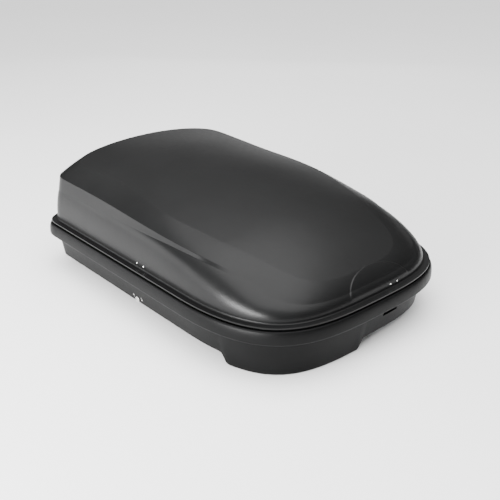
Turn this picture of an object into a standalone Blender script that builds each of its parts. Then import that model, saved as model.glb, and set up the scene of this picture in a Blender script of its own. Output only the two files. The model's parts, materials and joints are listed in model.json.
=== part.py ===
"""Roof cargo box: a low black car-roof box with a side-opening lid.

Frame, in metres: +X to the nose, -Y to the lock side, +Y to the hinge side, +Z up. The
origin is at the middle of the box's footprint, at the level of its feet.
"""

import math

import bmesh
import bpy
from mathutils import Matrix, Vector

# Plan of the lid's flange, which every other outline is offset from.
HALF_LENGTH = 0.600
HALF_WIDTH = 0.4194
REAR_STRAIGHT_X = -0.490
NOSE_STRAIGHT_X = 0.222
REAR_HANDLES = (0.370, 0.030)
NOSE_HANDLES = (0.374, 0.235)
REAR_POINTS = 7
SIDE_POINTS = 7
NOSE_POINTS = 12

# Heights.
FLOOR_Z = 0.032
BAND_BOTTOM_Z = 0.1195
BAND_TOP_Z = 0.1515
LIP_TOP_Z = 0.1585
FLANGE_Z = 0.1705
WALL_FOOT_Z = FLANGE_Z + 0.004

# Shells.
SHELL = 0.004
GAP = 0.0003
BAND_PROUD = 0.010
WALL_INSET = 0.0205
WALL_BOTTOM_INSET = 0.0315
WALL_TOP_INSET = 0.0200
SPINE_X = (-0.34, 0.16)

# Height of the crown's centreline, its fall to the shoulder crest and the crest's half width.
CROWN_Z = ((-0.60, 0.386), (-0.30, 0.394), (0.00, 0.382), (0.25, 0.342), (0.45, 0.277), (0.60, 0.201))
CROWN_DROP = ((-0.60, 0.025), (-0.30, 0.036), (0.10, 0.040), (0.45, 0.018), (0.60, 0.006))
CREST_RATIO = ((-0.60, 0.73), (-0.25, 0.705), (0.05, 0.755), (0.25, 0.693), (0.45, 0.618), (0.60, 0.66))
CREST_X = (-0.560, 0.530)

# Section from the wall foot (0, 0) to the crest (1, 1): the wall's knuckle, then the lower
# and upper crease of the shoulder strip, at five places along the box.
SECTION = (
    (-0.60, (0.07, 0.29), (0.139, 0.522), (0.228, 0.799)),
    (-0.15, (0.05, 0.42), (0.186, 0.599), (0.300, 0.760)),
    (0.15, (0.01, 0.52), (0.350, 0.685), (0.380, 0.772)),
    (0.40, (0.00, 0.44), (0.400, 0.700), (0.480, 0.750)),
    (0.58, (0.00, 0.26), (0.300, 0.460), (0.400, 0.560)),
)

# Chin pod under the lock side of the nose.
POD_X = (0.335, 0.395)
POD_Y = (0.012, 0.062)

# Lock and lid catch, on the lock side.
LOCK = Vector((-0.040, -0.3915, 0.047))
LOCK_HEAD_R = 0.0095
LOCK_BARREL_R = 0.0075
LOCK_PLUG_R = 0.0052
CAM_LENGTH = 0.034
LOCK_HOLE_R = 0.0082
RIVET_HOLE_R = 0.0024
STRAP_X = (LOCK.x + 0.015, LOCK.x + 0.065)
SIDE_RIVETS_X = (LOCK.x + 0.023, LOCK.x + 0.057)
SIDE_RIVETS_Z = 0.184

# Nose locator.
NOSE_Y = 0.090
NOSE_RIVET_PITCH = 0.030
NOSE_RIVETS_Z = 0.182
BAR_Z = 0.090
BAR_HALF = 0.028
BAR_X = 0.5655

# Lid hinge, outboard of the flange and inboard of the rim band's face.
HINGE_Y = 0.4225
HINGE_Z = 0.1600
HINGE_XS = (-0.35, -0.06, 0.20)
KNUCKLE_R = 0.006
HINGE_PIN_R = 0.0022
HINGE_BORE_R = 0.0027
HINGE_HALF = 0.028
LID_KNUCKLE_HALF = 0.013

# Telescopic lid stays, in planes across the box.
STAY_XS = {"rear": -0.47, "front": 0.27}
STAY_BASE = (0.300, 0.070)
STAY_LID = (0.250, 0.260)
TUBE_R = 0.0065
TUBE_BORE_R = 0.0042
ROD_R = 0.0035
TUBE_LENGTH = 0.150
ROD_LENGTH = 0.170
EYE_WIDTH = 0.008
BRACKET_T = 0.003

# Crossbar clamps.
CLAMP_XS = {"rear": -0.36, "front": 0.19}
CLAMP_Y = 0.250
LEG_HALF = 0.040
LEG_R = 0.004
BEND_R = 0.012
CLAMP_SLIDE = 0.040
RAIL_T = 0.003
PLATE_T = 0.005
KNOB_H = 0.028
LEG_TOP_Z = 0.132
U_BOTTOM_Z = 0.010

BLACK_ABS = ("black_abs", (0.020, 0.021, 0.022), 0.36, 0.0)
BLACK_BASE = ("black_base", (0.016, 0.017, 0.018), 0.55, 0.0)
RUBBER = ("rubber", (0.012, 0.012, 0.012), 0.85, 0.0)
STEEL = ("zinc_steel", (0.62, 0.63, 0.64), 0.35, 1.0)
BRIGHT = ("bright_metal", (0.78, 0.78, 0.77), 0.22, 1.0)
BLACK_STEEL = ("black_steel", (0.030, 0.031, 0.033), 0.45, 0.4)
NYLON = ("nylon", (0.030, 0.030, 0.031), 0.50, 0.0)


def clear_scene():
    for obj in list(bpy.data.objects):
        bpy.data.objects.remove(obj, do_unlink=True)


def collection(name):
    made = bpy.data.collections.new(name)
    bpy.context.scene.collection.children.link(made)
    return made


clear_scene()
PARTS = collection("roof_cargo_box")
CUTTERS = collection("cutters")
CUTTERS.hide_render = True


def material(spec, name):
    label, colour, roughness, metallic = spec
    made = bpy.data.materials.new(f"{name}_{label}")
    made.use_nodes = True
    shader = made.node_tree.nodes["Principled BSDF"]
    shader.inputs["Base Color"].default_value = (*colour, 1)
    shader.inputs["Roughness"].default_value = roughness
    shader.inputs["Metallic"].default_value = metallic
    return made


def add_mesh(name, bm, spec, at=(0, 0, 0)):
    """An object with its origin at a given point, from a bmesh drawn in world coordinates."""
    bmesh.ops.translate(bm, verts=bm.verts, vec=-Vector(at))
    mesh = bpy.data.meshes.new(name)
    bm.to_mesh(mesh)
    bm.free()
    mesh.shade_smooth()
    mesh.set_sharp_from_angle(angle=math.radians(35))
    mesh.materials.append(material(spec, name))
    obj = bpy.data.objects.new(name, mesh)
    obj.location = at
    PARTS.objects.link(obj)
    return obj


def as_cutter(obj):
    PARTS.objects.unlink(obj)
    CUTTERS.objects.link(obj)
    obj.hide_render = True
    obj.display_type = "WIRE"
    return obj


def boolean(obj, other, operation):
    modifier = obj.modifiers.new(operation.lower(), "BOOLEAN")
    modifier.operation = operation
    modifier.solver = "EXACT"
    modifier.object = as_cutter(other)


def smooth(low, high, value):
    t = min(1.0, max(0.0, (value - low) / (high - low)))
    return t * t * (3 - 2 * t)


def along(table, x):
    """A smooth value at x through a short table of (x, value) stations."""
    if x <= table[0][0]:
        return table[0][1]
    for (x0, v0), (x1, v1) in zip(table, table[1:]):
        if x <= x1:
            i = [row[0] for row in table].index(x0)
            before = table[max(i - 1, 0)]
            after = table[min(i + 2, len(table) - 1)]
            m0 = (v1 - before[1]) / (x1 - before[0])
            m1 = (after[1] - v0) / (after[0] - x0)
            t, h = (x - x0) / (x1 - x0), x1 - x0
            return (
                (2 * t**3 - 3 * t**2 + 1) * v0
                + (t**3 - 2 * t**2 + t) * h * m0
                + (3 * t**2 - 2 * t**3) * v1
                + (t**3 - t**2) * h * m1
            )
    return table[-1][1]


def bezier(points, count):
    """count points of a cubic curve, without its last one."""
    p0, p1, p2, p3 = (Vector(p) for p in points)
    made = []
    for i in range(count):
        t = i / count
        made.append((1 - t) ** 3 * p0 + 3 * t * (1 - t) ** 2 * p1 + 3 * t * t * (1 - t) * p2 + t**3 * p3)
    return made


def flange_outline():
    """Points of the flange's edge, once round: rear centre, hinge side, nose, lock side."""
    rear = bezier(
        (
            (-HALF_LENGTH, 0),
            (-HALF_LENGTH, REAR_HANDLES[0]),
            (-HALF_LENGTH + REAR_HANDLES[1], HALF_WIDTH),
            (REAR_STRAIGHT_X, HALF_WIDTH),
        ),
        REAR_POINTS,
    )
    run = NOSE_STRAIGHT_X - REAR_STRAIGHT_X
    side = [Vector((REAR_STRAIGHT_X + run * i / SIDE_POINTS, HALF_WIDTH)) for i in range(SIDE_POINTS)]
    nose = bezier(
        (
            (NOSE_STRAIGHT_X, HALF_WIDTH),
            (NOSE_STRAIGHT_X + NOSE_HANDLES[0], HALF_WIDTH),
            (HALF_LENGTH, NOSE_HANDLES[1]),
            (HALF_LENGTH, 0),
        ),
        NOSE_POINTS,
    )
    half = rear + side + nose + [Vector((HALF_LENGTH, 0))]
    return half + [Vector((p.x, -p.y)) for p in reversed(half[1:-1])]


OUTLINE = flange_outline()
COUNT = len(OUTLINE)


def outward(i):
    along_edge = OUTLINE[(i + 1) % COUNT] - OUTLINE[i - 1]
    return Vector((-along_edge.y, along_edge.x)).normalized()


def inset_ring(inset, z):
    """The flange's outline moved in by inset, at height z."""
    return [Vector((*(p - outward(i) * inset), z)) for i, p in enumerate(OUTLINE)]


def towards_spine(point, share):
    spine = Vector((min(max(point.x, SPINE_X[0]), SPINE_X[1]), 0))
    return point.to_2d().lerp(spine, share)


def crown_height(x, y):
    half = along(CREST_RATIO, x) * HALF_WIDTH
    return along(CROWN_Z, x) - along(CROWN_DROP, x) * (y / half) ** 2


def crest_point(p):
    """The shoulder crest that goes with a point of the flange's outline."""
    share = (p.x + HALF_LENGTH) / (2 * HALF_LENGTH)
    x = CREST_X[0] + share * (CREST_X[1] - CREST_X[0])
    y = p.y * along(CREST_RATIO, p.x)
    return Vector((x, y, crown_height(x, y)))


def section_point(i, s):
    """A point of the lid's side at outline point i: s runs 0 to 3 from the foot to the crest."""
    foot2 = OUTLINE[i] - outward(i) * WALL_INSET
    foot, crest = Vector((*foot2, WALL_FOOT_Z)), crest_point(OUTLINE[i])
    x = OUTLINE[i].x
    knuckle, low, high = (
        Vector((along([(r[0], r[k][0]) for r in SECTION], x), along([(r[0], r[k][1]) for r in SECTION], x)))
        for k in (1, 2, 3)
    )
    if s <= 1:
        f = 2 * s * (1 - s) * knuckle + s * s * low
    elif s <= 2:
        f = low.lerp(high, s - 1)
    else:
        t = s - 2
        bulge = Vector((0.5 * (high.x + 1) - 0.04, 0.5 * (high.y + 1) + 0.06 * (1 - high.y)))
        f = (1 - t) ** 2 * high + 2 * t * (1 - t) * bulge + t * t * Vector((1, 1))
    return Vector((*foot.to_2d().lerp(crest.to_2d(), f.x), foot.z + (crest.z - foot.z) * f.y))


def loft(rings, middle=None):
    """A bmesh skin through rings of COUNT points. middle closes the last ring, or the first."""
    bm = bmesh.new()
    rows = [[bm.verts.new(p) for p in ring] for ring in rings]
    for lower, upper in zip(rows, rows[1:]):
        for i in range(COUNT):
            j = (i + 1) % COUNT
            bm.faces.new((lower[j], lower[i], upper[i], upper[j]))
    if middle:
        row = rows[-1] if middle == "last" else rows[0]
        for i in range(COUNT // 2):
            corners = list(dict.fromkeys([row[i + 1], row[i], row[-i], row[-i - 1]]))
            bm.faces.new(corners if middle == "last" else corners[::-1])
    return bm


def solidify(obj):
    modifier = obj.modifiers.new("shell", "SOLIDIFY")
    modifier.thickness = SHELL
    modifier.offset = -1
    modifier.use_even_offset = True


def box(name, low, high, spec, bevel=0.0):
    """A block between two corners, with its edges rounded if bevel is given."""
    bm = bmesh.new()
    low, high = Vector(low), Vector(high)
    middle, size = (low + high) / 2, high - low
    bmesh.ops.create_cube(bm, size=1, matrix=Matrix.Translation(middle) @ Matrix.Diagonal((*size, 1)))
    obj = add_mesh(name, bm, spec, middle)
    if bevel:
        modifier = obj.modifiers.new("edges", "BEVEL")
        modifier.width = bevel
        modifier.segments = 1
    return obj


def cylinder(name, start, end, radius, spec, sides=16):
    """A round bar between two points, with its origin at the first."""
    start, end = Vector(start), Vector(end)
    turn = (end - start).to_track_quat("Z", "Y").to_matrix().to_4x4()
    bm = bmesh.new()
    bmesh.ops.create_cone(
        bm, cap_ends=True, segments=sides, radius1=radius, radius2=radius, depth=(end - start).length,
        matrix=Matrix.Translation((start + end) / 2) @ turn,
    )
    return add_mesh(name, bm, spec, start)


def turned(name, profile, at, axis, spec, steps=16, closed=False):
    """A turned shape: (radius, height) points down its outer side, about axis through at."""
    mesh = bpy.data.meshes.new(name)
    count = len(profile)
    edges = [(i, (i + 1) % count) for i in range(count if closed else count - 1)]
    mesh.from_pydata([(r, 0, h) for r, h in profile], edges, [])
    mesh.materials.append(material(spec, name))
    obj = bpy.data.objects.new(name, mesh)
    obj.location = at
    obj.rotation_mode = "QUATERNION"
    obj.rotation_quaternion = Vector(axis).to_track_quat("Z", "Y")
    PARTS.objects.link(obj)
    screw = obj.modifiers.new("turn", "SCREW")
    screw.steps = screw.render_steps = steps
    screw.use_merge_vertices = True
    screw.merge_threshold = 0.00005
    screw.use_smooth_shade = True
    return obj


def extruded(name, outline, low, high, spec, axis="X"):
    """An outline drawn across an axis, pushed along it from low to high."""
    bm = bmesh.new()
    order = {"X": lambda a, b, t: (t, a, b), "Y": lambda a, b, t: (a, t, b), "Z": lambda a, b, t: (a, b, t)}
    face = bm.faces.new([bm.verts.new(order[axis](a, b, low)) for a, b in outline])
    made = bmesh.ops.extrude_face_region(bm, geom=[face])
    moved = [v for v in made["geom"] if isinstance(v, bmesh.types.BMVert)]
    bmesh.ops.translate(bm, verts=moved, vec=order[axis](0, 0, high - low))
    bmesh.ops.recalc_face_normals(bm, faces=bm.faces)
    middle = sum((v.co for v in bm.verts), Vector()) / len(bm.verts)
    return add_mesh(name, bm, spec, middle)


def lid_shell():
    rings = [inset_ring(0, FLANGE_Z), inset_ring(WALL_INSET - 0.004, FLANGE_Z)]
    for s in (0, 0.33, 0.66, 1, 2, 2.35, 2.7, 3):
        rings.append([section_point(i, s) for i in range(COUNT)])
    for share in (0.22, 0.45, 0.68, 0.86):
        ring = []
        for p in OUTLINE:
            q = towards_spine(crest_point(p), share)
            ring.append(Vector((*q, crown_height(*q))))
        rings.append(ring)
    bm = loft(rings, middle="last")
    obj = add_mesh("lid_shell", bm, BLACK_ABS)
    solidify(obj)
    for i, x in enumerate(SIDE_RIVETS_X):
        ends = ((x, -0.41, SIDE_RIVETS_Z), (x, -0.38, SIDE_RIVETS_Z))
        hole = cylinder(f"side_rivet_hole_{i}", *ends, RIVET_HOLE_R, STEEL, 8)
        boolean(obj, hole, "DIFFERENCE")
    for i, y in enumerate((NOSE_Y - NOSE_RIVET_PITCH / 2, NOSE_Y + NOSE_RIVET_PITCH / 2)):
        ends = ((0.59, y, NOSE_RIVETS_Z), (0.56, y, NOSE_RIVETS_Z))
        hole = cylinder(f"nose_rivet_hole_{i}", *ends, RIVET_HOLE_R, STEEL, 8)
        boolean(obj, hole, "DIFFERENCE")
    return obj


def pod_depth(x, y):
    return FLOOR_Z * smooth(*POD_X, x) * smooth(*POD_Y, -y)


def base_shell():
    rings = []
    for share in (0.80, 0.60, 0.40, 0.20):
        ring = [Vector((*towards_spine(p, share), FLOOR_Z)) for p in inset_ring(0.050, FLOOR_Z)]
        rings.append(ring)
    rings += [inset_ring(0.050, FLOOR_Z), inset_ring(WALL_BOTTOM_INSET + 0.007, FLOOR_Z)]
    rings.append(inset_ring(WALL_BOTTOM_INSET, FLOOR_Z + 0.006))
    for ring in rings:
        for p in ring:
            p.z -= pod_depth(p.x, p.y)
    rings += [
        inset_ring(WALL_TOP_INSET, BAND_BOTTOM_Z - 0.0035),
        inset_ring(WALL_TOP_INSET - 0.004, BAND_BOTTOM_Z),
        inset_ring(-BAND_PROUD + 0.004, BAND_BOTTOM_Z + 0.001),
        inset_ring(-BAND_PROUD, BAND_BOTTOM_Z + 0.006),
        inset_ring(-BAND_PROUD, BAND_TOP_Z - 0.005),
        inset_ring(-BAND_PROUD + 0.004, BAND_TOP_Z),
        inset_ring(0.0105, BAND_TOP_Z),
        inset_ring(0.0135, LIP_TOP_Z),
    ]
    bm = loft(rings, middle="first")
    obj = add_mesh("base_shell", bm, BLACK_BASE)
    solidify(obj)
    half = LEG_HALF + CLAMP_SLIDE + LEG_R + 0.0005
    for place, x in CLAMP_XS.items():
        for side, y in (("near", -CLAMP_Y), ("far", CLAMP_Y)):
            slot = box(
                f"slot_{place}_{side}", (x - half, y - 0.0055, 0.02), (x + half, y + 0.0055, 0.06), STEEL
            )
            boolean(obj, slot, "DIFFERENCE")
    ends = (LOCK - Vector((0, 0.01, 0)), LOCK + Vector((0, 0.014, 0)))
    bore = cylinder("lock_hole", *ends, LOCK_HOLE_R, STEEL, 20)
    boolean(obj, bore, "DIFFERENCE")
    window = box(
        "nose_window",
        (0.545, NOSE_Y - BAR_HALF - 0.004, BAR_Z - 0.010),
        (0.595, NOSE_Y + BAR_HALF + 0.004, BAR_Z + 0.010),
        STEEL,
    )
    boolean(obj, window, "DIFFERENCE")
    return obj


def lid_seal():
    """A rubber gasket under the flange, all the way round, that the base's lip closes on."""
    low, high, inset, half = LIP_TOP_Z + GAP, FLANGE_Z - SHELL - GAP, 0.0155, 0.004
    rings = [
        inset_ring(inset - half, high),
        inset_ring(inset - half, low + 0.003),
        inset_ring(inset - 0.001, low),
        inset_ring(inset + 0.001, low),
        inset_ring(inset + half, low + 0.003),
        inset_ring(inset + half, high),
    ]
    bm = loft(rings + rings[:1])
    bmesh.ops.remove_doubles(bm, verts=bm.verts, dist=1e-6)
    bmesh.ops.recalc_face_normals(bm, faces=bm.faces)
    return add_mesh("lid_seal", bm, RUBBER)


def stiffener(name, x, half_width):
    """A shallow rib across the underside of the crown."""
    steps, clearance, depth, width = 12, 0.0015, 0.012, 0.030
    bm = bmesh.new()
    rows = []
    for i in range(steps + 1):
        y = -half_width + 2 * half_width * i / steps
        rows.append(
            [
                bm.verts.new((x + dx, y, crown_height(x + dx, y) - SHELL * 1.1 - clearance - dz))
                for dx, dz in ((-width / 2, 0), (width / 2, 0), (width * 0.3, depth), (-width * 0.3, depth))
            ]
        )
    for a, b in zip(rows, rows[1:]):
        for k in range(4):
            bm.faces.new((a[k], a[(k + 1) % 4], b[(k + 1) % 4], b[k]))
    bm.faces.new(rows[0])
    bm.faces.new(rows[-1][::-1])
    bmesh.ops.recalc_face_normals(bm, faces=bm.faces)
    return add_mesh(name, bm, BLACK_ABS)


def rivet(name, at, axis):
    """A domed blind rivet: its head stands on the skin at the given point."""
    profile = [(0, 0.0018), (0.0014, 0.0016), (0.0026, 0.0009), (0.0031, 0), (0.0031, -0.0002)]
    profile += [(0.0019, -0.0002), (0.0019, -0.0125), (0, -0.0125)]
    return turned(name, profile, at, axis, BRIGHT, steps=12)


def lid_catch():
    """A steel strap from the lid's wall down to the lock, with a shelf that the cam holds."""
    t = 0.0015
    wall, foot = -0.3932, -0.3780
    outline = [
        (wall, 0.196), (wall, 0.168), (foot, 0.140), (foot, 0.0385), (-0.3600, 0.0385),
        (-0.3600, 0.0385 + t), (foot + t, 0.0385 + t), (foot + t, 0.140),
        (wall + t, 0.168), (wall + t, 0.196),
    ]
    obj = extruded("lid_catch", outline, STRAP_X[0], STRAP_X[1], STEEL)
    for i, x in enumerate(SIDE_RIVETS_X):
        ends = ((x, -0.40, SIDE_RIVETS_Z), (x, -0.385, SIDE_RIVETS_Z))
        hole = cylinder(f"catch_hole_{i}", *ends, RIVET_HOLE_R, STEEL, 8)
        boolean(obj, hole, "DIFFERENCE")
    return obj


def nose_wall_x(y):
    """Where the lid's nose wall stands at a given distance from the middle."""
    points = [p for p in inset_ring(WALL_INSET, FLANGE_Z) if p[0] > 0.45 and p[1] >= 0]
    points.sort(key=lambda p: p[1])
    for a, b in zip(points, points[1:]):
        if a[1] <= y <= b[1]:
            return a[0] + (b[0] - a[0]) * (y - a[1]) / (b[1] - a[1]) + 0.0002
    return points[-1][0]


def nose_tongue():
    """A steel tongue inside the lid's nose that drops behind the base's locating bar."""
    t = 0.0015
    wall, foot = 0.5680, 0.5535
    outline = [
        (wall, 0.189), (wall, 0.166), (foot, 0.142), (foot, BAR_Z - 0.012), (foot - t, BAR_Z - 0.012),
        (foot - t, 0.142), (wall - t, 0.166), (wall - t, 0.189),
    ]
    half = NOSE_RIVET_PITCH / 2 + 0.008
    bm = bmesh.new()
    face = bm.faces.new([bm.verts.new((x, NOSE_Y - half, z)) for x, z in outline])
    made = bmesh.ops.extrude_face_region(bm, geom=[face])
    moved = [v for v in made["geom"] if isinstance(v, bmesh.types.BMVert)]
    bmesh.ops.translate(bm, verts=moved, vec=(0, 2 * half, 0))
    bmesh.ops.recalc_face_normals(bm, faces=bm.faces)
    obj = add_mesh("nose_tongue", bm, STEEL, (wall, NOSE_Y, 0.17))
    for i, y in enumerate((NOSE_Y - NOSE_RIVET_PITCH / 2, NOSE_Y + NOSE_RIVET_PITCH / 2)):
        ends = ((0.58, y, NOSE_RIVETS_Z), (0.56, y, NOSE_RIVETS_Z))
        hole = cylinder(f"tongue_hole_{i}", *ends, RIVET_HOLE_R, STEEL, 8)
        boolean(obj, hole, "DIFFERENCE")
    return obj


def nose_bar():
    """The bright bar across the window in the base's nose."""
    ends = ((BAR_X, NOSE_Y - BAR_HALF, BAR_Z), (BAR_X, NOSE_Y + BAR_HALF, BAR_Z))
    return cylinder("nose_locating_bar", *ends, 0.003, BRIGHT, 12)


def nose_bar_ends():
    """Two lugs inside the base's nose that carry the locating bar."""
    for name, sign in (("bar_lug_near", -1), ("bar_lug_far", 1)):
        y = NOSE_Y + sign * (BAR_HALF + 0.0022)
        low = (BAR_X - 0.0070, y - 0.0018, BAR_Z - 0.0060)
        box(name, low, (BAR_X + 0.0032, y + 0.0018, BAR_Z + 0.0060), BLACK_STEEL)


def lock():
    profile = [(LOCK_PLUG_R + 0.0004, 0.0025), (LOCK_HEAD_R - 0.001, 0.0025), (LOCK_HEAD_R, 0.0012)]
    profile += [(LOCK_HEAD_R, 0), (LOCK_BARREL_R, 0)]
    profile += [(LOCK_BARREL_R, -0.0220), (LOCK_PLUG_R + 0.0004, -0.0220)]
    turned("lock_housing", profile, LOCK, (0, -1, 0), BRIGHT, steps=20, closed=True)
    nut_bore = LOCK_BARREL_R + 0.0005
    nut = [(nut_bore, -0.0115), (0.0097, -0.0115), (0.0097, -0.0155), (nut_bore, -0.0155)]
    turned("lock_nut", nut, LOCK, (0, -1, 0), STEEL, steps=12, closed=True)
    outline = [(0, 0.0018), (LOCK_PLUG_R - 0.0006, 0.0018), (LOCK_PLUG_R, 0.0012)]
    outline += [(LOCK_PLUG_R, -0.0255), (0, -0.0255)]
    plug = turned("lock_plug", outline, LOCK, (0, -1, 0), BRIGHT, steps=20)
    keyway = box(
        "keyway", LOCK + Vector((-0.0008, -0.004, -0.0034)), LOCK + Vector((0.0008, 0.006, 0.0034)), STEEL
    )
    boolean(plug, keyway, "DIFFERENCE")
    low, high = LOCK.y + 0.0258, LOCK.y + 0.0285
    steps = [math.pi + math.pi * i / 6 for i in range(7)]
    outline = [(LOCK.x + 0.006 * math.cos(a), LOCK.z + 0.006 * math.sin(a)) for a in steps]
    outline += [(LOCK.x + 0.0045, LOCK.z + CAM_LENGTH), (LOCK.x - 0.0045, LOCK.z + CAM_LENGTH)]
    extruded("lock_cam", outline, low, high, STEEL, axis="Y")


def hinge(index, x):
    """One lid hinge: a base leaf with two knuckles, a lid leaf with one, and the pin."""
    half, mid = HINGE_HALF, LID_KNUCKLE_HALF
    steps = [2 * math.pi * i / 16 for i in range(16)]
    ring = [(HINGE_Y + KNUCKLE_R * math.cos(a), HINGE_Z + KNUCKLE_R * math.sin(a)) for a in steps]
    low = BAND_TOP_Z + GAP
    name = f"hinge_base_leaf_{index}"
    plate = box(name, (x - half, 0.4097, low), (x + half, 0.4283, low + 0.0015), BLACK_STEEL)
    for side, (a, b) in (("a", (x - half, x - mid - 0.0005)), ("b", (x + mid + 0.0005, x + half))):
        foot = [(0.4165, low + 0.0007), (0.4283, low + 0.0007), (0.4283, HINGE_Z), (0.4165, HINGE_Z)]
        boolean(plate, extruded(f"base_knuckle_{index}{side}", ring, a, b, BLACK_STEEL), "UNION")
        web = extruded(f"base_web_{index}{side}", foot, a + 0.0002, b - 0.0002, BLACK_STEEL)
        boolean(plate, web, "UNION")
    top = FLANGE_Z + 0.0007
    arm = [
        (0.4199, HINGE_Z), (0.4240, HINGE_Z), (0.4240, top + 0.0025), (0.4042, top + 0.0025), (0.4042, top),
        (0.4199, top),
    ]
    leaf = extruded(f"hinge_lid_leaf_{index}", arm, x - mid + 0.0002, x + mid - 0.0002, BLACK_STEEL)
    boolean(leaf, extruded(f"lid_knuckle_{index}", ring, x - mid, x + mid, BLACK_STEEL), "UNION")
    for obj, reach in ((plate, half + 0.01), (leaf, mid + 0.01)):
        ends = ((x - reach, HINGE_Y, HINGE_Z), (x + reach, HINGE_Y, HINGE_Z))
        bore = cylinder(f"bore_{obj.name}", *ends, HINGE_BORE_R, STEEL, 12)
        boolean(obj, bore, "DIFFERENCE")
    pin_half = half + 0.002
    ends = ((x - pin_half, HINGE_Y, HINGE_Z), (x + pin_half, HINGE_Y, HINGE_Z))
    cylinder(f"hinge_pin_{index}", *ends, HINGE_PIN_R, BRIGHT, 12)


def stay(place, x):
    """One telescopic lid stay: two brackets, a tube on the base's stud and a rod to the lid."""
    base, top = Vector((x, *STAY_BASE)), Vector((x, *STAY_LID))
    run = (top - base).normalized()
    half = EYE_WIDTH / 2
    eye = [(0.0088, half), (0.0088, -half), (0.0038, -half), (0.0038, half)]
    tube = turned(f"stay_tube_{place}", eye, base, (1, 0, 0), BLACK_STEEL, steps=16, closed=True)
    profile = sleeve_profile(0.0068, TUBE_LENGTH)
    boolean(tube, turned(f"sleeve_{place}", profile, base, run, STEEL, steps=12), "UNION")
    rod_eye = [(0.0088, half), (0.0088, -half), (0.0055, -half), (0.0055, half)]
    rod = turned(f"stay_rod_{place}", rod_eye, top, (1, 0, 0), BRIGHT, steps=16, closed=True)
    shaft = cylinder(f"shaft_{place}", top - run * 0.0070, top - run * ROD_LENGTH, ROD_R, BRIGHT, 12)
    boolean(rod, shaft, "UNION")
    side = x + TUBE_R + 0.0012
    foot_z = FLOOR_Z + SHELL + GAP
    name = f"stay_base_bracket_{place}"
    corner = (side + 0.022, base.y + 0.016, foot_z + 0.003)
    foot = box(name, (side, base.y - 0.016, foot_z), corner, BLACK_STEEL)
    plate = [(base.y - 0.014, foot_z + 0.001), (base.y + 0.014, foot_z + 0.001)]
    plate += [(base.y + 0.010, base.z + 0.010), (base.y - 0.010, base.z + 0.010)]
    upright = extruded(f"base_plate_{place}", plate, side + 0.0002, side + BRACKET_T, BLACK_STEEL)
    boolean(foot, upright, "UNION")
    ends = ((side + 0.001, base.y, base.z), (x - half, base.y, base.z))
    stud = cylinder(f"base_stud_{place}", *ends, 0.0030, STEEL, 10)
    boolean(foot, stud, "UNION")
    skin_z = crown_height(x + 0.011, top.y + 0.016) - SHELL * 1.15 - 0.0060
    pad_low = skin_z - 0.004
    pad = box(
        f"stay_lid_bracket_{place}",
        (side + 0.001, top.y - 0.016, pad_low),
        (side + 0.022, top.y + 0.016, skin_z),
        BLACK_STEEL,
    )
    hanger = [(top.y - 0.014, skin_z - 0.001), (top.y + 0.014, skin_z - 0.001)]
    hanger += [(top.y + 0.010, top.z - 0.010)]
    hanger += [(top.y - 0.010, top.z - 0.010)]
    drop = extruded(f"lid_plate_{place}", hanger, side + 0.0012, side + BRACKET_T + 0.001, BLACK_STEEL)
    boolean(pad, drop, "UNION")


def sleeve_profile(low, high):
    """A tube closed at its low end: outer side from the mouth down, floor, then the bore up."""
    return [
        (0, low + 0.0040), (TUBE_BORE_R, low + 0.0040), (TUBE_BORE_R, high),
        (TUBE_R, high), (TUBE_R, low), (0, low),
    ]


def rail(name, y):
    """A steel strip along the floor that the clamps stand on, slotted like the floor."""
    low = FLOOR_Z + SHELL + GAP
    obj = box(name, (-0.470, y - 0.024, low), (0.292, y + 0.024, low + RAIL_T), STEEL)
    half = LEG_HALF + CLAMP_SLIDE + LEG_R + 0.0005
    for place, x in CLAMP_XS.items():
        slot = box(f"{name}_slot_{place}", (x - half, y - 0.0055, 0.02), (x + half, y + 0.0055, 0.06), STEEL)
        boolean(obj, slot, "DIFFERENCE")


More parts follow.
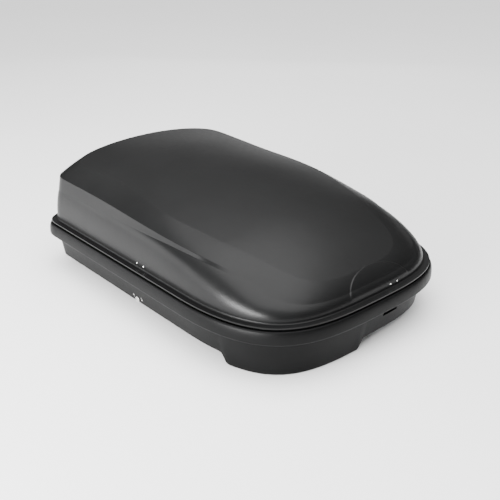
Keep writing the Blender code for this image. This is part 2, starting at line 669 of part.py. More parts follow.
def clamp(place, x, side, y):
    """One crossbar clamp: a U-bolt up through the floor, a pressure plate and two knobs."""
    label = f"{place}_{side}"
    points = [Vector((x - LEG_HALF, y, LEG_TOP_Z))]
    for centre, start in ((x - LEG_HALF + BEND_R, math.pi), (x + LEG_HALF - BEND_R, 1.5 * math.pi)):
        for i in range(5):
            a = start + 0.5 * math.pi * i / 4
            points.append(
                Vector((centre + BEND_R * math.cos(a), y, U_BOTTOM_Z + BEND_R + BEND_R * math.sin(a)))
            )
    points.append(Vector((x + LEG_HALF, y, LEG_TOP_Z)))
    curve = bpy.data.curves.new(f"clamp_u_bolt_{label}", "CURVE")
    curve.dimensions = "3D"
    curve.bevel_depth, curve.bevel_resolution, curve.use_fill_caps = LEG_R, 2, True
    spline = curve.splines.new("POLY")
    spline.points.add(len(points) - 1)
    for slot, p in zip(spline.points, points):
        slot.co = (*(p - Vector((x, y, 0))), 1)
    curve.materials.append(material(STEEL, f"clamp_u_bolt_{label}"))
    bolt = bpy.data.objects.new(f"clamp_u_bolt_{label}", curve)
    bolt.location = (x, y, 0)
    PARTS.objects.link(bolt)
    low = FLOOR_Z + SHELL + RAIL_T + 2 * GAP
    plate = box(
        f"clamp_plate_{label}",
        (x - LEG_HALF - 0.016, y - 0.017, low),
        (x + LEG_HALF + 0.016, y + 0.017, low + PLATE_T),
        BLACK_STEEL, bevel=0.0015,
    )
    seat = low + PLATE_T + GAP
    bore = LEG_R + 0.0006
    for end, sign in (("a", -1), ("b", 1)):
        leg = (x + sign * LEG_HALF, y)
        ends = ((*leg, low - 0.01), (*leg, low + 0.02))
        boolean(plate, cylinder(f"leg_hole_{label}{end}", *ends, bore, STEEL, 12), "DIFFERENCE")
        profile = [(bore, KNOB_H), (0.009, KNOB_H), (0.0095, 0.016), (0.019, 0.0145), (0.021, 0.011)]
        profile += [(0.021, 0.004), (0.019, 0.001), (0.011, 0), (bore, 0)]
        name = f"clamp_knob_{label}_{end}"
        knob = turned(name, profile, (*leg, seat), (0, 0, 1), NYLON, steps=16, closed=True)
        notch = box(
            f"knob_notch_{label}{end}", (leg[0] + 0.0165, leg[1] - 0.004, seat - 0.002),
            (leg[0] + 0.024, leg[1] + 0.004, seat + 0.02), STEEL,
        )
        boolean(knob, notch, "DIFFERENCE")


def feet():
    """Skids and bumpers under the floor that the box stands on off the car."""
    top = FLOOR_Z - GAP
    for name, x, y in (
        ("rear_skid_near", -0.500, -0.270),
        ("rear_skid_far", -0.500, 0.270),
        ("front_skid_far", 0.360, 0.230),
    ):
        box(name, (x - 0.045, y - 0.020, 0), (x + 0.045, y + 0.020, top), RUBBER, bevel=0.004)
    box("nose_bumper", (0.532, 0.004, FLOOR_Z - 0.0105), (0.553, 0.030, top), RUBBER, bevel=0.002)


def build():
    lid_shell()
    lid_seal()
    stiffener("lid_rib_rear", -0.34, 0.235)
    stiffener("lid_rib_front", 0.06, 0.250)
    lid_catch()
    nose_tongue()
    for label, x in zip(("a", "b"), SIDE_RIVETS_X):
        rivet(f"catch_rivet_{label}", (x, -0.39885, SIDE_RIVETS_Z), (0, -1, 0))
    for label, sign in (("a", -1), ("b", 1)):
        y = NOSE_Y + sign * NOSE_RIVET_PITCH / 2
        rivet(f"nose_rivet_{label}", (nose_wall_x(y), y, NOSE_RIVETS_Z), (1, 0, 0))
    base_shell()
    nose_bar()
    nose_bar_ends()
    lock()
    for index, x in enumerate(HINGE_XS, 1):
        hinge(index, x)
    for place, x in STAY_XS.items():
        stay(place, x)
    rail("floor_rail_near", -CLAMP_Y)
    rail("floor_rail_far", CLAMP_Y)
    for place, x in CLAMP_XS.items():
        for side, y in (("near", -CLAMP_Y), ("far", CLAMP_Y)):
            clamp(place, x, side, y)
    feet()


build()
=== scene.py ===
"""The looks of the roof cargo box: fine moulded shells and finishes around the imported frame.

Everything is in metres in the frame's own axes: +X nose, -Y lock side, +Y hinge side, +Z up.
"""
import json
import math

import bmesh
import bpy
import numpy as np
from mathutils import Matrix, Vector


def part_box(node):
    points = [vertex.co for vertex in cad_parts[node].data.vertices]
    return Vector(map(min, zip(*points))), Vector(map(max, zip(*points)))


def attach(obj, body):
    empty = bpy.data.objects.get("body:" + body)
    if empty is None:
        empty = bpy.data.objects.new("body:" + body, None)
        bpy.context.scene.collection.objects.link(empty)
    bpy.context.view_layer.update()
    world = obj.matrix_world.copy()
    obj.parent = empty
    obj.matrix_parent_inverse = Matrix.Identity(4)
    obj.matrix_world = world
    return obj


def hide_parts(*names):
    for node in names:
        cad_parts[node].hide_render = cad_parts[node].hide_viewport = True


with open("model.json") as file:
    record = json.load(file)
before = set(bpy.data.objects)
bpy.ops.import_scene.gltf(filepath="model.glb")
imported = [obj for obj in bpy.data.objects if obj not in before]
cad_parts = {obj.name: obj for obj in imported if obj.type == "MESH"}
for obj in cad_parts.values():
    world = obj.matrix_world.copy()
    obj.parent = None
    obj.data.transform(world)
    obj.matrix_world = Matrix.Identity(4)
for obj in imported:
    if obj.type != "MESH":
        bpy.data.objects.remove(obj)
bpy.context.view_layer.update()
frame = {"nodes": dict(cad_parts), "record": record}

# Plan of the lid's flange, which every other outline is offset from.
HALF_LENGTH = 0.600
HALF_WIDTH = 0.4194
REAR_STRAIGHT_X = -0.490
NOSE_STRAIGHT_X = 0.222
REAR_HANDLES = (0.370, 0.030)
NOSE_HANDLES = (0.374, 0.235)
COARSE_STEP = 0.009
FINE_STEP = 0.0027
FINE_ABOVE_X = 0.52
CORNER_POINTS = 1500
SIDE_POINTS = 600
STEP_BLEND = 60

# Heights and skin.
FLOOR_Z = 0.032
BAND_BOTTOM_Z = 0.1195
BAND_TOP_Z = 0.1515
LIP_TOP_Z = 0.1585
FLANGE_Z = 0.1705
WALL_FOOT_Z = FLANGE_Z + 0.004
SHELL = 0.004
RIM_BEVEL = 0.0012
BAND_PROUD = 0.010
RIM_RISE = 0.009
BAND_LEAN = 0.0085
HINGE_SIDE_Y = (0.30, 0.37)
WALL_INSET = 0.0205
WALL_BOTTOM_INSET = 0.0315
WALL_TOP_INSET = 0.0200
TUB_WALL_Z = (FLOOR_Z + 0.009, BAND_BOTTOM_Z - 0.004)
TUB_WALL_INSET = (WALL_BOTTOM_INSET - 0.0002, WALL_TOP_INSET)
SPINE_X = (-0.34, 0.16)

# Crown: its centreline, its fall to the shoulder crest, and the crest's half width.
CROWN_Z = ((-0.60, 0.386), (-0.30, 0.394), (0.00, 0.382), (0.25, 0.342), (0.45, 0.277), (0.60, 0.201))
CROWN_DROP = ((-0.60, 0.025), (-0.30, 0.036), (0.10, 0.040), (0.45, 0.018), (0.60, 0.006))
CREST_RATIO = ((-0.60, 0.73), (-0.25, 0.705), (0.05, 0.755), (0.25, 0.693), (0.45, 0.618), (0.60, 0.66))
CREST_X = (-0.560, 0.530)

# Side section from the wall foot (0, 0) to the crest (1, 1): the wall's knuckle, then the
# lower and upper crease of the shoulder strip, at five places along the box. Between the
# upper crease and the crest the shoulder bulges from a straight line by the last pair.
SECTION_X = (-0.60, -0.15, 0.15, 0.40, 0.58)
KNUCKLE = ((0.02, 0.31), (0.012, 0.43), (0.00, 0.53), (0.00, 0.44), (0.00, 0.26))
LOW_CREASE = ((0.139, 0.522), (0.186, 0.599), (0.350, 0.685), (0.400, 0.700), (0.300, 0.460))
HIGH_CREASE = ((0.228, 0.799), (0.300, 0.760), (0.380, 0.772), (0.480, 0.750), (0.400, 0.560))
SHOULDER_BULGE = (-0.04, 0.06)

# Raised half-moon on the nose, then the chin pod's ramps.
MOON_CENTRE = (0.587, 0.036)
MOON_HALF = (0.058, 0.130)
MOON_RISE = 0.0024
POD_X = (0.350, 0.378)
POD_Y = (0.014, 0.044)

# Openings in the tub, as room around the bar and the U-bolts, and the arrows by the lock.
LOCK = Vector((-0.040, -0.3915, 0.047))
LOCK_HOLE_R = 0.0082
WINDOW_BACK = 0.018
WINDOW_FRONT = 0.030
WINDOW_SIDE = 0.004
WINDOW_HEIGHT = 0.007
SLOT_REACH = 0.0405
SLOT_SIDE = 0.0015
SLOT_Z = (0.02, 0.06)
MARK_SHIFT = 0.021
MARK_RISE = 0.006
MARK_SUNK = 0.0003
MARK_THICK = 0.0008
ARROW_HALF = 0.0055
ARROW_BARB = (0.0034, 0.0016)
STROKE_HALF = 0.0010

# Camera and studio.
CAMERA_AT = Vector((1.7605, -1.5091, 1.2008))
CAMERA_AZIMUTH = math.radians(48.575)
CAMERA_ELEVATION = math.radians(25.203)
LENS = 54.53
SENSOR = 36
SKY_LOW = 0.12
SKY_TOP = 3.3
SKY_POWER = 3.0
FLOOR_HALF = 14.0
# Each softbox: place, what it points at, width and height, watts.
SOFTBOXES = {
    "overhead_softbox": ((0.4, -0.2, 3.6), (0, 0, 0), (4.2, 4.2), 235),
    "side_softbox": ((-1.9, -2.5, 0.80), (-0.1, -0.4, 0.28), (2.6, 1.2), 62),
    "bow_softbox": ((0.7, -3.3, 0.80), (0.3, -0.3, 0.25), (2.4, 0.8), 400),
    "back_softbox": ((-2.7, 2.6, 0.80), (-0.3, 0, 0.38), (3.0, 0.9), 5),
}


def smooth(low, high, value):
    """A step from 0 at low to 1 at high, with soft ends."""
    t = np.clip((np.asarray(value, float) - low) / (high - low), 0, 1)
    return t * t * (3 - 2 * t)


def along(xs, values, x):
    """A smooth curve through a few stations, read at x (Hermite, with central slopes)."""
    xs, values = np.asarray(xs, float), np.asarray(values, float)
    x = np.clip(x, xs[0], xs[-1])
    before = np.maximum(np.arange(len(xs)) - 1, 0)
    after = np.minimum(np.arange(len(xs)) + 1, len(xs) - 1)
    slope = (values[after] - values[before]) / (xs[after] - xs[before])
    i = np.clip(np.searchsorted(xs, x, side="left") - 1, 0, len(xs) - 2)
    h = xs[i + 1] - xs[i]
    t = (x - xs[i]) / h
    return (
        (2 * t**3 - 3 * t**2 + 1) * values[i]
        + (t**3 - 2 * t**2 + t) * h * slope[i]
        + (3 * t**2 - 2 * t**3) * values[i + 1]
        + (t**3 - t**2) * h * slope[i + 1]
    )


def stations(table, x):
    """The same curve through a table of (x, value) rows."""
    return along([row[0] for row in table], [row[1] for row in table], x)


def bezier(points):
    t = np.linspace(0, 1, CORNER_POINTS, endpoint=False)[:, None]
    p0, p1, p2, p3 = np.array(points, float)
    return (1 - t) ** 3 * p0 + 3 * t * (1 - t) ** 2 * p1 + 3 * t * t * (1 - t) * p2 + t**3 * p3


def outline():
    """Points and outward normals of the flange's edge, once round from the rear centre."""
    rear = bezier(
        (
            (-HALF_LENGTH, 0),
            (-HALF_LENGTH, REAR_HANDLES[0]),
            (-HALF_LENGTH + REAR_HANDLES[1], HALF_WIDTH),
            (REAR_STRAIGHT_X, HALF_WIDTH),
        )
    )
    side_x = np.linspace(REAR_STRAIGHT_X, NOSE_STRAIGHT_X, SIDE_POINTS, endpoint=False)
    side = np.stack([side_x, np.full_like(side_x, HALF_WIDTH)], 1)
    nose = bezier(
        (
            (NOSE_STRAIGHT_X, HALF_WIDTH),
            (NOSE_STRAIGHT_X + NOSE_HANDLES[0], HALF_WIDTH),
            (HALF_LENGTH, NOSE_HANDLES[1]),
            (HALF_LENGTH, 0),
        )
    )
    dense = np.concatenate([rear, side, nose, [[HALF_LENGTH, 0]]])
    steps = np.linalg.norm(np.diff(dense, axis=0), axis=1)
    wanted = np.where(dense[1:, 0] > FINE_ABOVE_X, FINE_STEP, COARSE_STEP)
    window = 2 * STEP_BLEND + 1
    wanted = np.convolve(np.pad(wanted, STEP_BLEND, mode="edge"), np.ones(window) / window, mode="valid")
    load = np.concatenate([[0], np.cumsum(steps / wanted)])
    count = int(round(load[-1]))
    at = np.linspace(0, load[-1], count + 1)
    half = np.stack([np.interp(at, load, dense[:, k]) for k in (0, 1)], 1)
    slope = np.gradient(dense, axis=0)
    tangent = np.stack([np.interp(at, load, slope[:, k]) for k in (0, 1)], 1)
    tangent[0], tangent[-1] = (0, 1), (0, -1)
    normal = np.stack([-tangent[:, 1], tangent[:, 0]], 1)
    normal /= np.linalg.norm(normal, axis=1)[:, None]
    mirror = np.array([1, -1])
    points = np.concatenate([half, half[-2:0:-1] * mirror])
    return points, np.concatenate([normal, normal[-2:0:-1] * mirror])


EDGE, OUT = outline()
COUNT = len(EDGE)


def ring(inset, z):
    """The flange's outline moved in by inset, at height z."""
    return np.column_stack([EDGE - OUT * inset, np.full(COUNT, float(z))])


def rings(profile):
    return [ring(inset, z) for inset, z in profile]


def crown_height(x, y):
    half = stations(CREST_RATIO, x) * HALF_WIDTH
    return stations(CROWN_Z, x) - stations(CROWN_DROP, x) * (y / half) ** 2


def moon_rise(x, y):
    """Height of the half-moon panel on the nose above the plain surface."""
    reach = np.hypot((x - MOON_CENTRE[0]) / MOON_HALF[0], (y - MOON_CENTRE[1]) / MOON_HALF[1])
    return MOON_RISE * smooth(-0.022, 0.022, 1 - reach)


def crest_ring():
    x = np.interp(EDGE[:, 0], (-HALF_LENGTH, HALF_LENGTH), CREST_X)
    y = EDGE[:, 1] * stations(CREST_RATIO, EDGE[:, 0])
    return np.column_stack([x, y, crown_height(x, y)])


def section_ring(s):
    """One ring of the lid's side: s runs 0 to 3 from the wall foot to the crest."""
    foot, crest = ring(WALL_INSET, WALL_FOOT_Z), crest_ring()
    x = EDGE[:, 0]
    knuckle, low, high = (
        np.stack([along(SECTION_X, [v[k] for v in table], x) for k in (0, 1)], 1)
        for table in (KNUCKLE, LOW_CREASE, HIGH_CREASE)
    )
    if s <= 1:
        f = 2 * s * (1 - s) * knuckle + s * s * low
    elif s <= 2:
        f = low + (high - low) * (s - 1)
    else:
        t = s - 2
        bulge = 0.5 * (high + 1)
        bulge[:, 0] += SHOULDER_BULGE[0]
        bulge[:, 1] += SHOULDER_BULGE[1] * (1 - high[:, 1])
        f = (1 - t) ** 2 * high + 2 * t * (1 - t) * bulge + t * t
    made = np.empty_like(foot)
    made[:, :2] = foot[:, :2] + (crest[:, :2] - foot[:, :2]) * f[:, :1]
    made[:, 2] = foot[:, 2] + (crest[:, 2] - foot[:, 2]) * f[:, 1]
    made[:, 2] += moon_rise(made[:, 0], made[:, 1]) * smooth(0.006, 0.016, made[:, 2] - WALL_FOOT_Z)
    return made


def to_spine(points, share):
    """Points moved a share of the way in to the box's centreline."""
    spine = np.column_stack([np.clip(points[:, 0], *SPINE_X), np.zeros(len(points))])
    return points[:, :2] + (spine - points[:, :2]) * share


def arc(centre, radius, start, end, steps):
    """(inset, z) points of a round corner, from one angle to another in degrees."""
    angles = np.radians(np.linspace(start, end, steps))
    return [(centre[0] + radius * math.cos(a), centre[1] + radius * math.sin(a)) for a in angles]


def skin_mesh(name, rows, middle):
    """A mesh through rings of COUNT points, closed across at the ring that middle names, first or last."""
    grid = np.array(rows)
    count = len(rows)
    a = np.arange(COUNT)
    b = (a + 1) % COUNT
    quads = []
    for r in range(count - 1):
        low, high = r * COUNT, (r + 1) * COUNT
        quads.append(np.stack([low + b, low + a, high + a, high + b], 1))
    faces = [tuple(q) for q in np.concatenate(quads).tolist()]
    base = (count - 1) * COUNT if middle == "last" else 0
    for i in range(COUNT // 2):
        corners = [base + i + 1, base + i, base + (COUNT - i) % COUNT, base + COUNT - i - 1]
        corners = list(dict.fromkeys(corners))
        faces.append(tuple(corners if middle == "last" else corners[::-1]))
    mesh = bpy.data.meshes.new(name)
    mesh.from_pydata(grid.reshape(-1, 3).tolist(), [], faces)
    mesh.update()
    obj = bpy.data.objects.new(name, mesh)
    bpy.context.scene.collection.objects.link(obj)
    return obj


def apply_modifiers(obj, sharp=38):
    """The object's mesh becomes its evaluated one, shaded smooth between sharp edges."""
    bpy.context.view_layer.update()
    graph = bpy.context.evaluated_depsgraph_get()
    mesh = bpy.data.meshes.new_from_object(obj.evaluated_get(graph))
    obj.modifiers.clear()
    obj.data = mesh
    mesh.shade_smooth()
    mesh.set_sharp_from_angle(angle=math.radians(sharp))
    return obj


def thicken(obj):
    """Gives the skin its wall and rounds the wall's free edges."""
    shell = obj.modifiers.new("shell", "SOLIDIFY")
    shell.thickness, shell.offset, shell.use_even_offset = SHELL, -1, True
    edge = obj.modifiers.new("rim", "BEVEL")
    edge.width, edge.segments = RIM_BEVEL, 3
    edge.limit_method, edge.angle_limit = "ANGLE", math.radians(60)
    edge.use_clamp_overlap = True


# ---------------------------------------------------------------- materials


class Nodes:
    """A small helper that adds and links shader nodes."""

    def __init__(self, name):
        self.material = bpy.data.materials.new(name)
        self.material.use_nodes = True
        self.tree = self.material.node_tree
        self.shader = self.tree.nodes["Principled BSDF"]

    def add(self, kind, **settings):
        node = self.tree.nodes.new(kind)
        for key, value in settings.items():
            if key in node.inputs:
                node.inputs[key].default_value = value
            else:
                setattr(node, key, value)
        return node

    def link(self, source, output, target, socket):
        self.tree.links.new(source.outputs[output], target.inputs[socket])

    def set(self, **values):
        for key, value in values.items():
            self.shader.inputs[key.replace("_", " ")].default_value = value

    def place(self):
        """Texture coordinates that stay with the object."""
        return self.add("ShaderNodeTexCoord")

    def noise(self, coordinates, scale, detail=3.0, roughness=0.5, output="Object"):
        node = self.add("ShaderNodeTexNoise", Scale=scale, Detail=detail, Roughness=roughness)
        self.link(coordinates, output, node, "Vector")
        return node

    def ramp(self, source, output, stops):
        node = self.add("ShaderNodeValToRGB")
        ramp = node.color_ramp
        while len(ramp.elements) < len(stops):
            ramp.elements.new(0.5)
        for element, (position, colour) in zip(ramp.elements, stops):
            element.position = position
            element.color = (*colour, 1) if len(colour) == 3 else colour
        self.link(source, output, node, "Fac")
        return node

    def bump(self, source, output, distance, strength=1.0, after=None):
        node = self.add("ShaderNodeBump", Distance=distance, Strength=strength)
        self.link(source, output, node, "Height")
        if after is not None:
            self.link(after, "Normal", node, "Normal")
        return node


def grey(value, tint=0.0):
    """A grey, made a little bluer by tint."""
    return (value * (1 - tint), value, value * (1 + tint))


def abs_plastic(name, dark, light, rough, level, grain, grain_depth):
    """Vacuum-formed ABS: a fine pebble grain over slow waves, faint clouds and an uneven gloss."""
    n = Nodes(name)
    place = n.place()
    clouds = n.noise(place, 5.5, 4.0, 0.55)
    gloss = n.noise(place, 60.0, 5.0, 0.6)
    colour = n.ramp(clouds, "Fac", [(0.30, grey(dark, 0.02)), (0.72, grey(light, 0.02))])
    n.link(colour, "Color", n.shader, "Base Color")
    uneven = n.add("ShaderNodeMath", operation="MULTIPLY_ADD")
    n.link(gloss, "Fac", uneven, 0)
    uneven.inputs[1].default_value = 0.10
    uneven.inputs[2].default_value = rough - 0.05
    n.link(uneven, 0, n.shader, "Roughness")
    pebble = n.add("ShaderNodeTexVoronoi", Scale=grain, feature="SMOOTH_F1")
    pebble.inputs["Smoothness"].default_value = 0.6
    n.link(place, "Object", pebble, "Vector")
    fine = n.bump(pebble, "Distance", grain_depth)
    wave = n.noise(place, 9.0, 2.0, 0.4)
    soft = n.bump(wave, "Fac", 0.0010, 0.5, after=fine)
    n.link(soft, "Normal", n.shader, "Normal")
    n.set(IOR=1.5, Specular_IOR_Level=level)
    return n.material


def metal(name, colour, rough, streak_axis, depth=0.00002):
    """Bare or plated metal: drawn streaks, a mottled roughness and slight tarnish."""
    n = Nodes(name)
    place = n.place()
    stretch = n.add("ShaderNodeMapping")
    scale = [900.0, 900.0, 900.0]
    scale[streak_axis] = 25.0
    stretch.inputs["Scale"].default_value = scale
    n.link(place, "Object", stretch, "Vector")
    streaks = n.noise(stretch, 1.0, 3.0, 0.6, output="Vector")
    spots = n.noise(place, 140.0, 3.0, 0.5)
    worn = tuple(c * 0.72 for c in colour)
    base = n.ramp(spots, "Fac", [(0.28, worn), (0.62, colour)])
    n.link(base, "Color", n.shader, "Base Color")
    rougher = n.ramp(streaks, "Fac", [(0.25, grey(rough * 0.7)), (0.75, grey(min(1.0, rough * 1.4)))])
    n.link(rougher, "Color", n.shader, "Roughness")
    n.link(n.bump(streaks, "Fac", depth), "Normal", n.shader, "Normal")
    n.set(Metallic=1.0)
    return n.material


def painted_steel(name):
    """Black powder coat: orange peel, with a little wear."""
    n = Nodes(name)
    place = n.place()
    peel = n.noise(place, 900.0, 2.0, 0.5)
    wear = n.noise(place, 70.0, 6.0, 0.7)
    colour = n.ramp(wear, "Fac", [(0.35, grey(0.018)), (0.70, grey(0.034)), (0.86, grey(0.085))])
    n.link(colour, "Color", n.shader, "Base Color")
    rough = n.ramp(wear, "Fac", [(0.3, grey(0.38)), (0.8, grey(0.55))])
    n.link(rough, "Color", n.shader, "Roughness")
    n.link(n.bump(peel, "Fac", 0.00006), "Normal", n.shader, "Normal")
    return n.material


def soft_black(name, low, high, rough, grain):
    """Rubber or nylon: a dull skin with a dusty bloom."""
    n = Nodes(name)
    place = n.place()
    bloom = n.noise(place, 45.0, 5.0, 0.65)
    colour = n.ramp(bloom, "Fac", [(0.30, grey(low)), (0.78, grey(high))])
    n.link(colour, "Color", n.shader, "Base Color")
    matt = n.ramp(bloom, "Fac", [(0.2, grey(rough - 0.08)), (0.8, grey(rough + 0.08))])
    n.link(matt, "Color", n.shader, "Roughness")
    skin = n.noise(place, grain, 3.0, 0.6)
    n.link(n.bump(skin, "Fac", 0.00012), "Normal", n.shader, "Normal")
    return n.material


LID_ABS = abs_plastic("lid_abs", 0.0030, 0.0045, 0.33, 0.17, 620.0, 0.00007)
BASE_ABS = abs_plastic("base_abs", 0.0022, 0.0034, 0.40, 0.075, 380.0, 0.00020)
RUBBER = soft_black("black_rubber", 0.009, 0.018, 0.84, 700.0)
NYLON = soft_black("black_nylon", 0.016, 0.028, 0.50, 500.0)
ZINC = metal("zinc_plate", (0.36, 0.37, 0.38), 0.40, 0)
BRIGHT = metal("bright_nickel", (0.80, 0.80, 0.78), 0.20, 1)
POWDER = painted_steel("black_powder_coat")
SLOT_MATERIALS = {
    "lid_abs": LID_ABS, "base_abs": BASE_ABS, "rubber": RUBBER, "nylon": NYLON,
    "zinc_steel": ZINC, "bright_metal": BRIGHT, "black_steel": POWDER,
}


def finish_nodes():
    """Every CAD node that stays takes the material of its slot in the record."""
    for row in frame["record"]["subparts"]:
        obj = frame["nodes"][row["node"]]
        obj.data.materials.clear()
        obj.data.materials.append(SLOT_MATERIALS[row["material_slot"]])


def finish_piece(obj, body, slot, *replaced):
    obj.data.materials.clear()
    obj.data.materials.append(SLOT_MATERIALS[slot])
    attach(obj, body)
    if replaced:
        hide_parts(*replaced)
    return obj


# ---------------------------------------------------------------- shells


def cutter(name, parts):
    """One mesh to cut with, of blocks from corner to corner and of bars from end to end.

    A part is (radius, start, end): a block has no radius.
    """
    bm = bmesh.new()
    for radius, low, high in parts:
        low, high = Vector(low), Vector(high)
        middle, size = (low + high) / 2, high - low
        if radius is None:
            matrix = Matrix.Translation(middle) @ Matrix.Diagonal((*size, 1))
            bmesh.ops.create_cube(bm, size=1, matrix=matrix)
        else:
            turn = size.to_track_quat("Z", "Y").to_matrix().to_4x4()
            bmesh.ops.create_cone(
                bm, cap_ends=True, segments=32, radius1=radius, radius2=radius,
                depth=size.length, matrix=Matrix.Translation(middle) @ turn,
            )
    bmesh.ops.recalc_face_normals(bm, faces=bm.faces)
    mesh = bpy.data.meshes.new(name)
    bm.to_mesh(mesh)
    bm.free()
    return bpy.data.objects.new(name, mesh)


def cut(obj, tool):
    bpy.context.scene.collection.objects.link(tool)
    modifier = obj.modifiers.new("openings", "BOOLEAN")
    modifier.operation, modifier.solver, modifier.object = "DIFFERENCE", "MANIFOLD", tool
    apply_modifiers(obj)
    bpy.data.objects.remove(tool)


def section_steps():
    """Places up the side: close together at the three creases and evenly between them."""
    wall = np.linspace(0, 0.955, 26).tolist() + [0.98, 1.0]
    strip = [1.05, 1.12, 1.3, 1.5, 1.7, 1.88, 1.95, 2.0]
    shoulder = [2.03, 2.06] + np.linspace(2.10, 2.92, 24).tolist() + [2.95, 2.975, 3.0]
    return wall + strip + shoulder


def lid_skin():
    """The lid in one moulded skin: flange, wall, creased shoulder, crown and half-moon."""
    rows = rings([(0.0, FLANGE_Z), (0.0015, FLANGE_Z), (0.008, FLANGE_Z), (0.0150, FLANGE_Z)])
    foot = arc((WALL_INSET - 0.004, WALL_FOOT_Z), 0.004, -90, 0, 7)
    rows += rings(foot[:-1])
    rows += [section_ring(s) for s in section_steps()]
    crest = crest_ring()
    shares = np.concatenate([np.linspace(0.0075, 0.105, 14), np.linspace(0.12, 0.965, 34)])
    for share in shares:
        x, y = to_spine(crest, share).T
        rows.append(np.column_stack([x, y, crown_height(x, y) + moon_rise(x, y)]))
    obj = skin_mesh("lid_skin", rows, "last")
    thicken(obj)
    apply_modifiers(obj)
    return finish_piece(obj, "lid", "lid_abs", "lid_shell")


def pod_depth(x, y):
    """How far the chin pod hangs below the tub's floor, on the near side of the nose only."""
    return FLOOR_Z * smooth(*POD_X, x) * smooth(*POD_Y, -y)


def band_face():
    """Rings up the band's face to its top edge. It is plain and low along the hinges only.

    Everywhere else the face leans in as it rises, and its edge stands up to the lid's flange.
    """
    plain = rings([(-BAND_PROUD, z) for z in np.linspace(BAND_BOTTOM_Z + 0.009, BAND_TOP_Z - 0.008, 5)])
    plain += rings(arc((-BAND_PROUD + 0.005, BAND_TOP_Z - 0.005), 0.005, 180, 90, 7))
    plain += rings([(-0.001, BAND_TOP_Z), (0.003, BAND_TOP_Z), (0.0055, BAND_TOP_Z - 0.0008)])
    top = BAND_TOP_Z + RIM_RISE
    foot = BAND_BOTTOM_Z + 0.010
    crowned = rings([(-BAND_PROUD, BAND_BOTTOM_Z + 0.008), (-BAND_PROUD, foot)])
    for angle in np.radians(np.linspace(9, 90, 10)):
        inset = -BAND_PROUD + BAND_LEAN * (1 - math.cos(angle))
        crowned += rings([(inset, foot + (top - foot) * math.sin(angle))])
    crowned += rings([(0.0005, top), (0.0030, top - 0.0004), (0.0055, BAND_TOP_Z + 0.004)])
    share = 1 - smooth(*HINGE_SIDE_Y, EDGE[:, 1])[:, None]
    return [low + (high - low) * share for low, high in zip(plain, crowned)]


def tub_floor():
    """Rings from the middle of the floor out to the foot of the wall, pushed down into the pod."""
    rows = []
    inner = ring(0.050, FLOOR_Z)
    for share in np.linspace(0.965, 0.0, 60):
        rows.append(np.column_stack([to_spine(inner, share), inner[:, 2]]))
    rows += rings([(0.0445, FLOOR_Z)])
    rows += rings(arc((WALL_BOTTOM_INSET + 0.0075, FLOOR_Z + 0.0075), 0.0075, -90, -180, 7))
    for row in rows:
        row[:, 2] -= pod_depth(row[:, 0], row[:, 1])
    return rows


def tub_wall():
    """Rings up the tub's wall. The pod's depth fades out with height."""
    rows = []
    low, high = TUB_WALL_Z
    for z in np.linspace(low, high, 16):
        row = ring(np.interp(z, TUB_WALL_Z, TUB_WALL_INSET), z)
        row[:, 2] -= pod_depth(row[:, 0], row[:, 1]) * (high - z) / (high - low)
        rows.append(row)
    return rows


def tub_openings():
    """The lock's bore, the window in the nose and a slot for each clamp's U-bolt."""
    parts = [(LOCK_HOLE_R, LOCK - Vector((0, 0.01, 0)), LOCK + Vector((0, 0.014, 0)))]
    low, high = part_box("nose_locating_bar")
    window_low = (low.x - WINDOW_BACK, low.y - WINDOW_SIDE, low.z - WINDOW_HEIGHT)
    window_high = (high.x + WINDOW_FRONT, high.y + WINDOW_SIDE, high.z + WINDOW_HEIGHT)
    parts.append((None, window_low, window_high))
    for place in ("rear", "front"):
        for side in ("near", "far"):
            low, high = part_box(f"clamp_u_bolt_{place}_{side}")
            slot_low = (low.x - SLOT_REACH, low.y - SLOT_SIDE, SLOT_Z[0])
            slot_high = (high.x + SLOT_REACH, high.y + SLOT_SIDE, SLOT_Z[1])
            parts.append((None, slot_low, slot_high))
    return cutter("openings", parts)


def base_skin():
    """The tub in one moulded skin: floor with its pod, wall, band and the lip inside it."""
    rows = tub_floor() + tub_wall()
    rows += rings(arc((WALL_TOP_INSET - 0.004, BAND_BOTTOM_Z - 0.0035), 0.004, 0, 90, 5)[1:])
    rows += rings(arc((-BAND_PROUD + 0.005, BAND_BOTTOM_Z + 0.0055), 0.005, -90, -180, 7))
    rows += band_face()
    rows += rings([(0.0078, BAND_TOP_Z), (0.0095, BAND_TOP_Z), (0.0112, BAND_TOP_Z + 0.0008)])
    rows += rings([(0.0122, BAND_TOP_Z + 0.0028), (0.0135, LIP_TOP_Z)])
    obj = skin_mesh("base_skin", rows, "first")
    thicken(obj)
    apply_modifiers(obj)
    cut(obj, tub_openings())
    return finish_piece(obj, "base", "base_abs", "base_shell")


def seal_bead():
    """The gasket under the flange, as a fine closed tube with a round underside."""
    low, high, inset, half = LIP_TOP_Z + 0.0003, FLANGE_Z - SHELL - 0.0003, 0.0155, 0.0038
    middle = low + 0.003
    profile = [(inset - half, high), (inset - half, middle)]
    profile += arc((inset, middle), half, 180, 360, 9)[1:-1]
    profile = [(d, max(z, low)) for d, z in profile] + [(inset + half, middle), (inset + half, high)]
    rows = rings(profile)
    count = len(rows)
    faces = []
    for r in range(count):
        low_row, high_row = r * COUNT, (r + 1) % count * COUNT
        for a in range(COUNT):
            b = (a + 1) % COUNT
            faces.append((low_row + b, low_row + a, high_row + a, high_row + b))
    mesh = bpy.data.meshes.new("seal_bead")
    mesh.from_pydata(np.concatenate(rows).tolist(), [], faces)
    mesh.shade_smooth()
    obj = bpy.data.objects.new("seal_bead", mesh)
    bpy.context.scene.collection.objects.link(obj)
    return finish_piece(obj, "lid", "rubber", "lid_seal")


def wall_y(z):
    """The tub's outer wall on the lock side, at height z."""
    return -(HALF_WIDTH - float(np.interp(z, TUB_WALL_Z, TUB_WALL_INSET)))


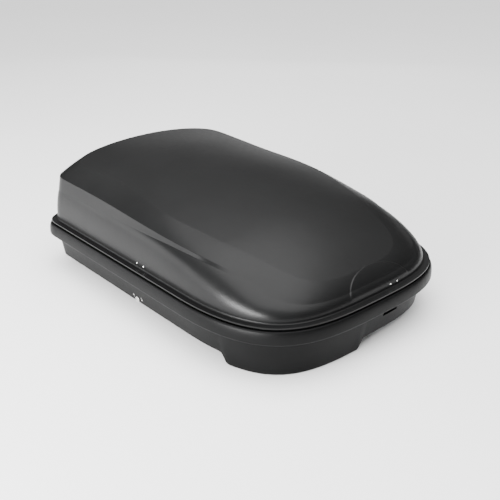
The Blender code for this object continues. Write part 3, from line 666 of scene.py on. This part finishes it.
def raised_mark(name, at, strokes):
    """A small mark that follows the tub's wall: each stroke is a thin bar with round ends."""
    bm = bmesh.new()
    for start, end in strokes:
        a, b = Vector((start[0], 0, start[1])), Vector((end[0], 0, end[1]))
        run = (b - a).normalized()
        side = Vector((-run.z, 0, run.x)) * STROKE_HALF
        corners = []
        for centre, first in ((a, 90), (b, -90)):
            for i in range(9):
                angle = math.radians(first + 180 * i / 8)
                corners.append(at + centre + run * STROKE_HALF * math.cos(angle) + side * math.sin(angle))
        for corner in corners:
            corner.y = wall_y(corner.z) + MARK_SUNK
        face = bm.faces.new([bm.verts.new(corner) for corner in corners])
        made = bmesh.ops.extrude_face_region(bm, geom=[face])
        lifted = [v for v in made["geom"] if isinstance(v, bmesh.types.BMVert)]
        bmesh.ops.translate(bm, verts=lifted, vec=(0, -MARK_THICK, 0))
    bmesh.ops.recalc_face_normals(bm, faces=bm.faces)
    mesh = bpy.data.meshes.new(name)
    bm.to_mesh(mesh)
    bm.free()
    obj = bpy.data.objects.new(name, mesh)
    bpy.context.scene.collection.objects.link(obj)
    return finish_piece(obj, "base", "bright_metal")


def arrow(turn):
    """An arrow of three strokes, turned about its middle by an angle in degrees."""
    c, s = math.cos(math.radians(turn)), math.sin(math.radians(turn))

    def at(x, z):
        return (x * c - z * s, x * s + z * c)

    tip, tail = at(0, ARROW_HALF), at(0, -ARROW_HALF)
    barb_x, barb_z = ARROW_BARB
    return [(tail, tip), (at(-barb_x, barb_z), tip), (at(barb_x, barb_z), tip)]


def lock_marks():
    """Plain arrows for open and shut, either side of the lock."""
    for name, shift, turn in (("mark_open", -MARK_SHIFT, 30), ("mark_shut", MARK_SHIFT, -150)):
        raised_mark(name, Vector((LOCK.x + shift, 0, LOCK.z + MARK_RISE)), arrow(turn))


# ---------------------------------------------------------------- stage


def softbox(name, at, target, size, power):
    data = bpy.data.lights.new(name, "AREA")
    data.shape, data.size, data.size_y = "RECTANGLE", size[0], size[1]
    data.energy = power
    obj = bpy.data.objects.new(name, data)
    obj.location = at
    obj.rotation_mode = "QUATERNION"
    obj.rotation_quaternion = (Vector(target) - Vector(at)).to_track_quat("-Z", "Y")
    bpy.context.scene.collection.objects.link(obj)


def stage():
    """A wide pale floor just under the object, the sky and the softboxes."""
    n = Nodes("pale_floor")
    place = n.place()
    clouds = n.noise(place, 0.6, 3.0, 0.5)
    tone = n.ramp(clouds, "Fac", [(0.3, (0.93, 0.93, 0.93)), (0.7, (0.96, 0.96, 0.96))])
    n.link(tone, "Color", n.shader, "Base Color")
    n.set(Roughness=0.85)
    mesh = bpy.data.meshes.new("floor")
    corners = [(x * FLOOR_HALF, y * FLOOR_HALF, 0) for x, y in ((-1, -1), (1, -1), (1, 1), (-1, 1))]
    mesh.from_pydata(corners, [], [(0, 1, 2, 3)])
    mesh.materials.append(n.material)
    floor = bpy.data.objects.new("floor", mesh)
    floor.location.z = -0.0005
    bpy.context.scene.collection.objects.link(floor)
    studio_sky()
    for name, settings in SOFTBOXES.items():
        softbox(name, *settings)


def studio_sky():
    """A soft dome: bright overhead and dim near the horizon, so that black plastic stays black."""
    world = bpy.data.worlds.new("studio")
    world.use_nodes = True
    tree = world.node_tree
    background = tree.nodes["Background"]
    place = tree.nodes.new("ShaderNodeTexCoord")
    parts = tree.nodes.new("ShaderNodeSeparateXYZ")
    rising = tree.nodes.new("ShaderNodeMath")
    rising.operation = "POWER"
    rising.inputs[1].default_value = SKY_POWER
    rising.use_clamp = True
    strength = tree.nodes.new("ShaderNodeMath")
    strength.operation = "MULTIPLY_ADD"
    strength.inputs[1].default_value = SKY_TOP
    strength.inputs[2].default_value = SKY_LOW
    tree.links.new(place.outputs["Generated"], parts.inputs[0])
    tree.links.new(parts.outputs["Z"], rising.inputs[0])
    tree.links.new(rising.outputs[0], strength.inputs[0])
    tree.links.new(strength.outputs[0], background.inputs["Strength"])
    background.inputs["Color"].default_value = (1, 1, 1, 1)
    bpy.context.scene.world = world


def camera():
    data = bpy.data.cameras.new("camera")
    data.lens, data.sensor_width = LENS, SENSOR
    data.clip_start, data.clip_end = 0.05, 100
    obj = bpy.data.objects.new("camera", data)
    obj.location = CAMERA_AT
    obj.rotation_mode = "QUATERNION"
    flat = math.cos(CAMERA_ELEVATION)
    look_x, look_y = -math.sin(CAMERA_AZIMUTH) * flat, math.cos(CAMERA_AZIMUTH) * flat
    look = Vector((look_x, look_y, -math.sin(CAMERA_ELEVATION)))
    obj.rotation_quaternion = look.to_track_quat("-Z", "Y")
    bpy.context.scene.collection.objects.link(obj)
    bpy.context.scene.camera = obj


camera()
stage()
finish_nodes()
lid_skin()
base_skin()
seal_bead()
lock_marks()
